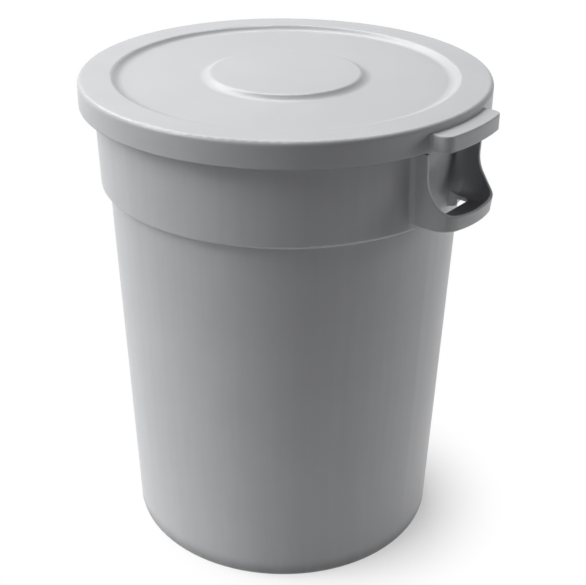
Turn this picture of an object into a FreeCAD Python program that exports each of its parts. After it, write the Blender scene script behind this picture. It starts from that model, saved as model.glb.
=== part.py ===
import FreeCAD, Part
import math
import os

# A tall round refuse can, moulded in one piece with its two handles, and its loose snap-over lid.
# Lengths are in millimetres and angles in degrees. The can stands on its foot at height zero, on the
# upright axis, with the handles along X and the lid's lift tab over the handle at positive X.

# Walls and clearances
can_wall = 3.5
handle_wall = 4.0
lid_wall = 3.0
lid_clearance = 2.0
skirt_clearance = 2.6
overrun = 20.0
level_tolerance = 0.1

# Can body, which narrows downwards from the band
can_height = 697.6
base_radius = 228.2
body_flare = 20.6
base_rounding = 16.0
floor_chamfer = 10.0
foot_width = 30.2
base_rise = 6.0
base_slope_run = 9.0

# Stiffening band round the top of the can, which steps out from the body
band_height = 146.9
band_step = 11.2
band_flare = 4.9
band_rounding = 5.0

# Rolled rim, an upside-down channel that the lid closes over
rim_overhang = 14.1
rim_drop = 26.0
rim_rounding = 6.3

# Handle loop, with its depths measured out from the band's lower edge
handle_height = 102.6
handle_depth_bottom = 56.0
handle_depth_top = 65.0
handle_half_width_bottom = 59.4
handle_half_width_top = 67.2
handle_corner_radius = 27.0
handle_bow_angle = 16.0
handle_bow_share = 0.98
handle_root_radius = 9.0
handle_root_run = 16.0
handle_root_dip_angle = 4.0
handle_edge_chamfer = 1.8

# Scoop that leaves the grip low and the two legs high
grip_height = 19.1
scoop_throat_depth = 16.4
scoop_run = 25.8
scoop_slope_angle = 54.0
scoop_foot_radius = 42.0
scoop_throat_radius = 46.0

# Hand pocket behind the grip, with a slot through its floor
pocket_floor = 4.5
pocket_rounding = 10.0
pocket_corner_radius = 13.0
pocket_ceiling = 4.0
slot_depth = 13.8
slot_end_margin = 4.4
slot_corner_radius = 8.0
slot_headroom = 3.0

# Lid
skirt_height = 34.0
lid_edge_rounding = 6.0
lid_inner_chamfer = 4.5
lid_border = 46.0
dish_slope_run = 8.0
dish_depth = 6.0
disc_radius = 112.0
disc_slope_run = 7.8
disc_height = 5.6
lid_crease_rounding = 8.0
lid_foot_rounding = 20.0

# Lift tab on the lid's rim
tab_drop = 9.5
tab_rise = 3.8
tab_length = 26.0
tab_half_width = 64.5
tab_corner_radius = 15.0
tab_edge_rounding = 1.6

# Levels and radii that follow from the sizes above
body_top_radius = base_radius + body_flare
foot_inner_radius = base_radius - foot_width
band_bottom = can_height - band_height
band_bottom_radius = body_top_radius + band_step
band_top_radius = band_bottom_radius + band_flare
rim_radius = band_top_radius + rim_overhang
rim_bottom = can_height - rim_drop
lid_radius = rim_radius + lid_clearance + lid_wall
lid_top = can_height + lid_wall
skirt_bottom = lid_top - skirt_height
handle_top = skirt_bottom - skirt_clearance
handle_bottom = handle_top - handle_height
pocket_bottom = handle_bottom + pocket_floor
tab_radius = lid_radius + tab_length

ORIGIN = FreeCAD.Vector(0, 0, 0)
UP = FreeCAD.Vector(0, 0, 1)
FULL_TURN = 360
HALF_TURN = 180
RIGHT_ANGLE = 90


def between(level, low, high):
    """Value at a level on the straight line from (low level, value) to (high level, value)."""
    share = (level - low[0]) / (high[0] - low[0])
    return low[1] + share * (high[1] - low[1])


def body_radius(level):
    """Outer radius of the tapered body wall, also where it runs on up behind a handle."""
    return between(level, (0, base_radius), (band_bottom, body_top_radius))


def band_radius(level):
    """Outer radius of the band."""
    return between(level, (band_bottom, band_bottom_radius), (can_height, band_top_radius))


def upright(a, b):
    """Places an outline's (radius, height) point in the upright plane through X."""
    return FreeCAD.Vector(a, 0, b)


def level_at(height):
    """Gives the function that places an outline's (x, y) point in the level plane at a height."""
    return lambda a, b: FreeCAD.Vector(a, b, height)


def corner_arc(before, corner, after, radius):
    """Start, middle and end of the arc of a radius that rounds the corner between two neighbours."""
    point = FreeCAD.Vector(corner[0], corner[1], 0)
    back = (FreeCAD.Vector(before[0], before[1], 0) - point).normalize()
    ahead = (FreeCAD.Vector(after[0], after[1], 0) - point).normalize()
    half = back.getAngle(ahead) / 2
    tangent = radius / math.tan(half)
    inward = (back + ahead).normalize()
    middle = point + inward * (radius / math.sin(half) - radius)
    return point + back * tangent, middle, point + ahead * tangent


def rounded_wire(corners, place):
    """Closed wire through (a, b, radius) corners: straight runs, with an arc where radius is not zero."""
    edges = []
    ends = []
    for index, corner in enumerate(corners):
        if corner[2] == 0:
            ends.append((place(corner[0], corner[1]), place(corner[0], corner[1])))
            continue
        following = corners[(index + 1) % len(corners)]
        arc = [place(p.x, p.y) for p in corner_arc(corners[index - 1], corner, following, corner[2])]
        edges.append(Part.Arc(*arc).toShape())
        ends.append((arc[0], arc[2]))
    for index, end in enumerate(ends):
        following = ends[(index + 1) % len(ends)]
        edges.append(Part.LineSegment(end[1], following[0]).toShape())
    return Part.Wire(Part.__sortEdges__(edges))


def turned(corners):
    """Solid of revolution of a closed (radius, height) outline about the upright axis."""
    return Part.Face(rounded_wire(corners, upright)).revolve(ORIGIN, UP, FULL_TURN)


def tapered_prism(bottom_corners, top_corners, bottom, top):
    """Ruled solid between two level outlines with the same number of corners."""
    wires = [rounded_wire(bottom_corners, level_at(bottom)), rounded_wire(top_corners, level_at(top))]
    return Part.makeLoft(wires, True, True)


def level_edges(solid, level, outside):
    """A solid's edges that lie level at a height and wholly beyond a distance along X."""
    chosen = []
    for edge in solid.Edges:
        box = edge.BoundBox
        off_level = max(abs(box.ZMin - level), abs(box.ZMax - level))
        if off_level < level_tolerance and box.XMin > outside:
            chosen.append(edge)
    return chosen


def standing_edges(solid, shortest):
    """A solid's edges that run upwards further than a shortest height."""
    return [edge for edge in solid.Edges if edge.BoundBox.ZLength > shortest]


def both_ways(shape):
    """The shape and its copy turned half way round the upright axis."""
    other = shape.copy()
    other.rotate(ORIGIN, UP, HALF_TURN)
    return [shape, other]


def can_outside():
    """The can's outside as a full solid: raised base, foot, tapered wall, band and rolled rim."""
    rim_under = can_height - can_wall
    rim_inner = rim_radius - can_wall
    return turned([
        (0, base_rise, 0),
        (foot_inner_radius - base_slope_run, base_rise, 0),
        (foot_inner_radius, 0, 0),
        (base_radius, 0, base_rounding),
        (body_top_radius, band_bottom, 0),
        (band_bottom_radius, band_bottom, band_rounding),
        (band_radius(rim_under), rim_under, 0),
        (rim_inner, rim_under, 0),
        (rim_inner, rim_bottom, 0),
        (rim_radius, rim_bottom, 0),
        (rim_radius, can_height, rim_rounding),
        (0, can_height, 0),
    ])


def can_inside():
    """The plain tapered hollow, one wall in from the base and the body, up through the mouth."""
    gutter = foot_inner_radius - can_wall
    floor_corner = can_wall + floor_chamfer
    mouth = can_height + overrun
    return turned([
        (0, base_rise + can_wall, 0),
        (gutter - base_slope_run, base_rise + can_wall, 0),
        (gutter, can_wall, 0),
        (body_radius(can_wall) - floor_corner, can_wall, 0),
        (body_radius(floor_corner) - can_wall, floor_corner, 0),
        (body_radius(mouth) - can_wall, mouth, 0),
        (0, mouth, 0),
    ])


def band_inside():
    """The wider hollow behind the band, which stops at the side walls of the two hand pockets."""
    floor = band_bottom + can_wall
    mouth = can_height + overrun
    inner = body_radius(floor) - can_wall - overrun
    hollow = turned([
        (inner, floor, 0),
        (band_radius(floor) - can_wall, floor, 0),
        (band_radius(mouth) - can_wall, mouth, 0),
        (inner, mouth, 0),
    ])
    ceiling = handle_top + pocket_ceiling
    backing = tapered_prism(
        pocket_backing(band_bottom), pocket_backing(ceiling), band_bottom, ceiling)
    for backed in both_ways(backing):
        hollow = hollow.cut(backed)
    return hollow


def half_width(level):
    """Half the handle's outside width at a height: the legs lean apart upwards."""
    return between(level, (handle_bottom, handle_half_width_bottom), (handle_top, handle_half_width_top))


def reach(level):
    """How far the grip's outside would stand from the axis at a height."""
    depth = between(level, (handle_bottom, handle_depth_bottom), (handle_top, handle_depth_top))
    return band_bottom_radius + depth


def pocket_backing(level):
    """Corners of the block that keeps the band's hollow out of a hand pocket."""
    inner = body_radius(level) - can_wall - overrun
    outer = band_radius(level) + overrun
    width = half_width(level)
    return [(inner, -width, 0), (outer, -width, 0), (outer, width, 0), (inner, width, 0)]


def loop_front(level, inset):
    """Corners of the grip's bowed front, seen from above, an inset in from its outside."""
    bow = math.radians(handle_bow_angle)
    corner_radius = handle_corner_radius - inset
    width = half_width(level) - inset
    run = width / math.cos(bow)
    corner_run = corner_radius * math.tan((math.radians(RIGHT_ANGLE) - bow) / 2)
    bow_radius = handle_bow_share * (run - corner_run) / math.tan(bow)
    apex = reach(level) - inset + bow_radius * (1 / math.cos(bow) - 1)
    side = apex - run * math.sin(bow)
    return [(side, -width, corner_radius), (apex, 0, bow_radius), (side, width, corner_radius)]


def loop_root(level):
    """Corners where a leg flares into the band, for the side at positive Y, from the leg inwards."""
    width = half_width(level)
    around = math.asin(width / band_radius(level))
    heading = around + math.radians(RIGHT_ANGLE + handle_root_dip_angle)
    corner = (band_radius(level) * math.cos(around), width)
    end = (corner[0] + handle_root_run * math.cos(heading), width + handle_root_run * math.sin(heading))
    return [corner + (handle_root_radius,), end + (0,), (body_radius(level) - overrun, end[1], 0)]


def loop_outline(level):
    """Corners of the handle's outside seen from above."""
    root = loop_root(level)
    mirrored = [(x, -y, radius) for x, y, radius in reversed(root)]
    return mirrored + loop_front(level, 0) + root


def handle_outside():
    """One handle as a full block, with its flared roots and a chamfered lower edge."""
    block = tapered_prism(loop_outline(handle_bottom), loop_outline(handle_top), handle_bottom, handle_top)
    edges = level_edges(block, handle_bottom, body_radius(handle_bottom))
    return block.makeChamfer(handle_edge_chamfer, edges)


def body_core():
    """The body's tapered outside run straight on upwards: nothing of a pocket cuts into it."""
    return Part.makeCone(base_radius, body_radius(can_height), can_height)


def pocket_outline(level):
    """Corners of the hand pocket seen from above, one wall in from the handle's outside."""
    front = loop_front(level, handle_wall)
    inner = body_radius(level) - overrun
    return [(inner, front[0][1], 0)] + front + [(inner, front[2][1], 0)]


def pocket_space():
    """The pocket behind one grip, with soft corners at the body's wall and a rounded floor."""
    space = tapered_prism(
        pocket_outline(pocket_bottom), pocket_outline(handle_top), pocket_bottom, handle_top)
    space = space.cut(body_core())
    uprights = standing_edges(space, (handle_top - pocket_bottom) / 2)
    corners = [edge for edge in uprights if edge.BoundBox.XMax < band_bottom_radius]
    space = space.makeFillet(pocket_corner_radius, corners)
    return space.makeFillet(pocket_rounding, level_edges(space, pocket_bottom, body_radius(pocket_bottom)))


def pocket_slot():
    """The slot down through the pocket's floor, before the body's wall is taken from it."""
    width = half_width(handle_bottom) - handle_wall - slot_end_margin
    inner = math.sqrt(body_radius(handle_bottom) ** 2 - width ** 2)
    outer = band_bottom_radius + slot_depth
    corners = [
        (inner, -width, pocket_corner_radius),
        (outer, -width, slot_corner_radius),
        (outer, width, slot_corner_radius),
        (inner, width, pocket_corner_radius),
    ]
    bottom = min(band_bottom, handle_bottom) - overrun
    top = pocket_bottom + pocket_rounding + slot_headroom
    return Part.Face(rounded_wire(corners, level_at(bottom))).extrude(UP * (top - bottom))


def hand_pocket():
    """The space behind one grip: the pocket and the slot, neither of which cuts into the body."""
    return pocket_space().fuse(pocket_slot()).cut(body_core())


def scoop():
    """The air above one grip: level over the grip, then up a slope to upright edges on the legs."""
    grip_top = handle_bottom + grip_height
    throat = band_bottom_radius + scoop_throat_depth
    rise = scoop_run * math.tan(math.radians(scoop_slope_angle))
    far = max(reach(handle_bottom), reach(handle_top)) + overrun
    outline = rounded_wire([
        (far, grip_top, 0),
        (throat + scoop_run, grip_top, scoop_foot_radius),
        (throat, grip_top + rise, scoop_throat_radius),
        (throat, handle_top + overrun, 0),
        (far, handle_top + overrun, 0),
    ], upright)
    width = handle_half_width_top + overrun
    air = Part.Face(outline).extrude(FreeCAD.Vector(0, 2 * width, 0))
    air.translate(FreeCAD.Vector(0, -width, 0))
    return air


def can_body():
    """The can: outside and handles together, less the hollows, pockets and scoops."""
    handle = handle_outside().cut(scoop())
    solid = can_outside().fuse(both_ways(handle))
    solid = solid.cut([can_inside(), band_inside()] + both_ways(hand_pocket()))
    return solid.removeSplitter()


def lid_shell():
    """The lid's turned shell: skirt, rounded edge, dished top and raised middle disc."""
    dish = lid_top - dish_depth
    disc = dish + disc_height
    dish_radius = lid_radius - lid_border
    disc_top_radius = disc_radius - disc_slope_run
    dish_floor_radius = dish_radius - dish_slope_run
    inner_radius = lid_radius - lid_wall
    underside = lid_top - lid_wall
    return turned([
        (0, disc, 0),
        (disc_top_radius, disc, lid_crease_rounding),
        (disc_radius, dish, lid_foot_rounding),
        (dish_floor_radius, dish, lid_foot_rounding),
        (dish_radius, lid_top, lid_crease_rounding),
        (lid_radius, lid_top, lid_edge_rounding),
        (lid_radius, skirt_bottom, 0),
        (inner_radius, skirt_bottom, 0),
        (inner_radius, underside - lid_inner_chamfer, 0),
        (inner_radius - lid_inner_chamfer, underside, 0),
        (dish_radius, underside, 0),
        (dish_floor_radius, dish - lid_wall, 0),
        (disc_radius, dish - lid_wall, 0),
        (disc_top_radius, disc - lid_wall, 0),
        (0, disc - lid_wall, 0),
    ])


def tab_block(inset, bottom, top):
    """The lift tab as a full block, an inset in from its outside, with rounded corners."""
    width = tab_half_width - inset
    inner = rim_radius - overrun
    slab = Part.makeBox(tab_radius, 2 * width, top - bottom, FreeCAD.Vector(inner, -width, bottom))
    block = slab.common(Part.makeCylinder(tab_radius - inset, top - bottom, UP * bottom))
    uprights = standing_edges(block, (top - bottom) / 2)
    corners = [edge for edge in uprights if edge.BoundBox.XMin > inner + lid_wall]
    return block.makeFillet(tab_corner_radius - inset, corners)


def lift_tab():
    """The hollow lift tab, open underneath, less the room that the skirt takes."""
    top = lid_top - tab_drop
    block = tab_block(0, skirt_bottom + tab_rise, top)
    outer_edges = level_edges(block, top, lid_radius - lid_edge_rounding - lid_wall)
    block = block.makeFillet(tab_edge_rounding, outer_edges)
    shell = block.cut(tab_block(lid_wall, skirt_bottom - overrun, top - lid_wall))
    return shell.cut(Part.makeCylinder(lid_radius - lid_wall / 2, lid_top))


def lid():
    """The lid with its lift tab, one moulding."""
    return lid_shell().fuse(lift_tab()).removeSplitter()


os.makedirs("parts", exist_ok=True)
for name, solid in (("can_body", can_body()), ("lid", lid())):
    print(name, "solids", len(solid.Solids), "valid", solid.isValid(), "mm3", round(solid.Volume))
    solid.Solids[0].exportStep("parts/" + name + ".step")
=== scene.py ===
import math

import bpy
import numpy as np
from mathutils import Matrix, Vector

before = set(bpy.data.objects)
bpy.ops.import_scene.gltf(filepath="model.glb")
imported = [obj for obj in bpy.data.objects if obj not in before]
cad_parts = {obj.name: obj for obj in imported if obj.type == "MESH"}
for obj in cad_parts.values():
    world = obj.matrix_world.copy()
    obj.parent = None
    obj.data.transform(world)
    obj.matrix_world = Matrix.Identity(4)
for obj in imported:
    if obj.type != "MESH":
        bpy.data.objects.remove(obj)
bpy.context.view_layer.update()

# Can: one injection moulding in grey polyethylene. The base, tapered wall, band, rolled rim and both
# loop handles come out of one mould, so the whole piece has the same skin: a fine satin grain and faint
# upright draw marks from the mould. The lowest part, inside and out, has painted shade: its colour
# darkens in patches towards the floor.
PLASTIC_GREY = (0.383, 0.386, 0.398, 1.0)
PLASTIC_PALE = (0.422, 0.426, 0.439, 1.0)
MOTTLE_SCALE, MOTTLE_DETAIL = 11.0, 4.0
MOTTLE_HEIGHT = 0.0006
MOTTLE_STRENGTH = 0.15
GRAIN_SCALE, GRAIN_DETAIL = 900.0, 2.0
GRAIN_HEIGHT = 0.00008
GRAIN_STRENGTH = 0.25
GRAIN_SHADE_SHARE = 0.35
PALE_FROM, PALE_TO = 0.45, 0.9
NOISE_LOW, NOISE_HIGH = 0.3, 0.7
ROUGHNESS_LOW, ROUGHNESS_HIGH = 0.34, 0.40
SPECULAR_LEVEL = 0.4
EDGE_EASING = 0.002
EDGE_SAMPLES = 8
DRAW_MARK_DETAIL = 3.0
CAN_DRAW_SCALE = (90.0, 90.0, 1.2)
# Painted shade at the foot: the dark grey that the plastic is painted towards near the floor, the height
# it fades out at, and its patches.
FOOT_PAINTED_SHADE = (0.128, 0.128, 0.130, 1.0)
PAINTED_SHADE_HEIGHT = 0.036
SHADE_PATCH_SCALE, SHADE_PATCH_DETAIL = 40.0, 4.0
SHADE_THIN_SHARE, SHADE_FULL_SHARE = 0.75, 1.0


def put(tree, kind, inputs=None, **settings):
    """Adds one shader node: settings are its properties, inputs its socket values or links."""
    made = tree.nodes.new(kind)
    for name, value in settings.items():
        setattr(made, name, value)
    for socket, value in (inputs or {}).items():
        if isinstance(value, bpy.types.NodeSocket):
            tree.links.new(value, made.inputs[socket])
        else:
            made.inputs[socket].default_value = value
    return made


def noise(tree, place, detail, scale=1.0):
    """Cloudy value of about a half: scale is the clouds to a unit of place, detail the finer layers."""
    inputs = {"Vector": place, "Scale": scale, "Detail": detail}
    return put(tree, "ShaderNodeTexNoise", inputs).outputs["Fac"]


def reckon(tree, operation, *values):
    """One step of arithmetic on numbers or sockets."""
    return put(tree, "ShaderNodeMath", dict(enumerate(values)), operation=operation).outputs[0]


def spread(tree, value, low, high):
    """Carries a noise value from its middle range to the range from low to high."""
    inputs = {"Value": value, "From Min": NOISE_LOW, "From Max": NOISE_HIGH, "To Min": low, "To Max": high}
    return put(tree, "ShaderNodeMapRange", inputs).outputs["Result"]


def blend_colour(tree, share, first, second):
    """Mixes two colours by a share of the second."""
    inputs = {"Factor": share, "A": first, "B": second}
    return put(tree, "ShaderNodeMix", inputs, data_type="RGBA").outputs["Result"]


def raised(tree, height, strength, distance, below):
    """Bump of the given height on top of the normal below it."""
    inputs = {"Height": height, "Strength": strength, "Distance": distance, "Normal": below}
    return put(tree, "ShaderNodeBump", inputs).outputs["Normal"]


def bare_material(name):
    """New material with an empty node tree."""
    made = bpy.data.materials.new(name)
    made.use_nodes = True
    made.node_tree.nodes.clear()
    return made


def moulded_plastic(name, draw_scale):
    """Moulded grey plastic: mottled, uneven sheen, mould grain, draw marks and softly broken edges."""
    made = bare_material(name)
    tree = made.node_tree
    place = put(tree, "ShaderNodeTexCoord").outputs["Object"]
    drawn = put(tree, "ShaderNodeMapping", {"Vector": place, "Scale": draw_scale}).outputs["Vector"]
    mottle = noise(tree, place, MOTTLE_DETAIL, MOTTLE_SCALE)
    marks = noise(tree, drawn, DRAW_MARK_DETAIL)
    grain = noise(tree, place, GRAIN_DETAIL, GRAIN_SCALE)
    shade = reckon(tree, "DIVIDE", reckon(tree, "ADD", mottle, marks), 2.0)
    shade = reckon(tree, "MULTIPLY_ADD", grain, GRAIN_SHADE_SHARE, shade)
    pale = put(tree, "ShaderNodeMapRange", {"Value": shade, "From Min": PALE_FROM, "From Max": PALE_TO})
    eased = put(tree, "ShaderNodeBevel", {"Radius": EDGE_EASING}, samples=EDGE_SAMPLES).outputs["Normal"]
    wave = raised(tree, mottle, MOTTLE_STRENGTH, MOTTLE_HEIGHT, eased)
    skin = put(tree, "ShaderNodeBsdfPrincipled", {
        "Base Color": blend_colour(tree, pale.outputs["Result"], PLASTIC_GREY, PLASTIC_PALE),
        "Roughness": spread(tree, mottle, ROUGHNESS_LOW, ROUGHNESS_HIGH),
        "Specular IOR Level": SPECULAR_LEVEL,
        "Normal": raised(tree, grain, GRAIN_STRENGTH, GRAIN_HEIGHT, wave),
    }, name="plastic_skin")
    put(tree, "ShaderNodeOutputMaterial", {"Surface": skin.outputs["BSDF"]})
    return made


def painted_foot_shade(material):
    """Paints shade on the plastic near the floor: it fades out upwards and is patchy."""
    tree = material.node_tree
    place = put(tree, "ShaderNodeTexCoord").outputs["Object"]
    height = put(tree, "ShaderNodeSeparateXYZ", {"Vector": place}).outputs["Z"]
    low_down = put(tree, "ShaderNodeMapRange",
                   {"Value": height, "From Min": PAINTED_SHADE_HEIGHT, "From Max": 0.0},
                   interpolation_type="SMOOTHSTEP").outputs["Result"]
    patches = noise(tree, place, SHADE_PATCH_DETAIL, SHADE_PATCH_SCALE)
    share = reckon(tree, "MULTIPLY", low_down, spread(tree, patches, SHADE_THIN_SHARE, SHADE_FULL_SHARE))
    colour_socket = tree.nodes["plastic_skin"].inputs["Base Color"]
    unshaded = colour_socket.links[0].from_socket
    tree.links.new(blend_colour(tree, share, unshaded, FOOT_PAINTED_SHADE), colour_socket)
    return material


def dress(node, material):
    """Gives a whole piece one material."""
    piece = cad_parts[node]
    piece.data.materials.clear()
    piece.data.materials.append(material)
    return piece


# The can's material carries painted shade at its foot.
can = dress("can_body", painted_foot_shade(moulded_plastic("can_moulded_grey", CAN_DRAW_SCALE)))

# Lid: a second moulding in the same grey plastic, dropped over the rolled rim. Its dished top, middle
# disc and lift tab are one piece with the skirt, and the skin is the same fine satin grain.
LID_DRAW_SCALE = (6.0, 6.0, 90.0)

lid = dress("lid", moulded_plastic("lid_moulded_grey", LID_DRAW_SCALE))

# Studio: a plain pale sheet of paper, 2.6 m square, in front of a white backdrop. The camera sees both
# as white, apart from the soft shadow that the can throws on the paper round its foot.
PAPER_REACH = 1.3
PAPER_COLOUR = (0.80, 0.80, 0.80, 1.0)
SHADOW_CENTRE = (0.047, 0.037, 0.0)
SHADOW_INNER_RADIUS = 0.05
SHADOW_OUTER_RADIUS = 0.31
WHITE = (1.0, 1.0, 1.0, 1.0)

floor_mesh = bpy.data.meshes.new("floor")
corners = np.array([(-1, -1, 0), (1, -1, 0), (1, 1, 0), (-1, 1, 0)], float) * PAPER_REACH
floor_mesh.from_pydata(corners.tolist(), [], [(0, 1, 2, 3)])
floor = bpy.data.objects.new("floor", floor_mesh)
bpy.context.scene.collection.objects.link(floor)


def seen_share(tree):
    """One for rays from the camera and for what shows in gloss or through glass, else zero."""
    path = put(tree, "ShaderNodeLightPath").outputs
    seen = reckon(tree, "MAXIMUM", path["Is Camera Ray"], path["Is Glossy Ray"])
    return reckon(tree, "MAXIMUM", seen, path["Is Transmission Ray"])


def white_paper():
    """White paper: it takes the shadow round the can, and fades to plain white further off."""
    made = bare_material("white_paper")
    tree = made.node_tree
    place = put(tree, "ShaderNodeTexCoord").outputs["Object"]
    away = put(tree, "ShaderNodeVectorMath", {0: place, 1: SHADOW_CENTRE}, operation="DISTANCE")
    plain = put(tree, "ShaderNodeMapRange",
                {"Value": away.outputs["Value"], "From Min": SHADOW_INNER_RADIUS,
                 "From Max": SHADOW_OUTER_RADIUS},
                interpolation_type="SMOOTHSTEP").outputs["Result"]
    paper = put(tree, "ShaderNodeBsdfDiffuse", {"Color": PAPER_COLOUR}).outputs[0]
    white = put(tree, "ShaderNodeEmission", {"Color": WHITE}).outputs[0]
    plain_seen = reckon(tree, "MULTIPLY", plain, seen_share(tree))
    both = put(tree, "ShaderNodeMixShader", {0: plain_seen, 1: paper, 2: white})
    put(tree, "ShaderNodeOutputMaterial", {"Surface": both.outputs[0]})
    return made


floor_mesh.materials.append(white_paper())

world = bpy.data.worlds.new("studio")
bpy.context.scene.world = world
world.use_nodes = True
sky = world.node_tree
sky.nodes.clear()
backdrop = put(sky, "ShaderNodeBackground", {"Color": WHITE, "Strength": seen_share(sky)})
put(sky, "ShaderNodeOutputWorld", {"Surface": backdrop.outputs[0]})

# Camera and lamps: the camera stands where the photograph was taken from. The lamps are large soft
# boxes placed by the camera's own right, nearer and upward directions. The two low ones don't gleam,
# so that the lid's top keeps its grey when it is seen from low down on the far side.
CAMERA_BEARING = math.radians(-51.5)
CAMERA_AWAY = 1.605
CAMERA_HEIGHT = 1.190
CAMERA_PITCH = math.radians(27.431)
CAMERA_ROLL = math.radians(0.388)
CAMERA_FOCAL_PIXELS = 1200.0
CAMERA_OFF_CENTRE_PIXELS = 9.0
PHOTO_WIDTH = 586.0
SENSOR_WIDTH = 36.0
LAMP_AWAY = 6.0
LAMP_AIM_HEIGHT = 0.40
LAMP_SIZE = 2.6

nearer = Vector((math.cos(CAMERA_BEARING), math.sin(CAMERA_BEARING), 0.0))
upward = Vector((0.0, 0.0, 1.0))
rightward = upward.cross(nearer)

ahead = -nearer * math.cos(CAMERA_PITCH) - upward * math.sin(CAMERA_PITCH)
level_up = rightward.cross(ahead)
camera_right = rightward * math.cos(CAMERA_ROLL) + level_up * math.sin(CAMERA_ROLL)
camera_up = level_up * math.cos(CAMERA_ROLL) - rightward * math.sin(CAMERA_ROLL)
camera_data = bpy.data.cameras.new("camera")
camera_data.sensor_width = SENSOR_WIDTH
camera_data.lens = CAMERA_FOCAL_PIXELS / PHOTO_WIDTH * SENSOR_WIDTH
camera_data.shift_x = CAMERA_OFF_CENTRE_PIXELS / PHOTO_WIDTH
camera = bpy.data.objects.new("camera", camera_data)
turn = Matrix((camera_right, camera_up, -ahead)).transposed().to_4x4()
camera.matrix_world = Matrix.Translation(nearer * CAMERA_AWAY + upward * CAMERA_HEIGHT) @ turn
bpy.context.scene.collection.objects.link(camera)
bpy.context.scene.camera = camera


def soft_box(name, bearing, climb, power, gleams=True):
    """Square soft lamp aimed at the can: bearing runs from the camera's right round past the camera."""
    bearing, climb = math.radians(bearing), math.radians(climb)
    level = rightward * math.cos(bearing) + nearer * math.sin(bearing)
    data = bpy.data.lights.new(name, "AREA")
    data.shape = "SQUARE"
    data.size = LAMP_SIZE
    data.energy = power
    lamp = bpy.data.objects.new(name, data)
    away = level * math.cos(climb) + upward * math.sin(climb)
    lamp.location = upward * LAMP_AIM_HEIGHT + away * LAMP_AWAY
    lamp.rotation_euler = (-away).to_track_quat("-Z", "Y").to_euler()
    lamp.visible_glossy = gleams
    bpy.context.scene.collection.objects.link(lamp)


soft_box("left_box", bearing=178.0, climb=24.0, power=194.0, gleams=False)
soft_box("high_left_box", bearing=182.0, climb=46.0, power=138.0)
soft_box("front_left_box", bearing=147.0, climb=47.0, power=66.0)
soft_box("back_left_box", bearing=222.0, climb=44.0, power=176.0)
soft_box("back_box", bearing=258.0, climb=48.0, power=140.0)
soft_box("right_box", bearing=352.0, climb=12.0, power=142.0, gleams=False)

bpy.context.scene.view_settings.view_transform = "Standard"
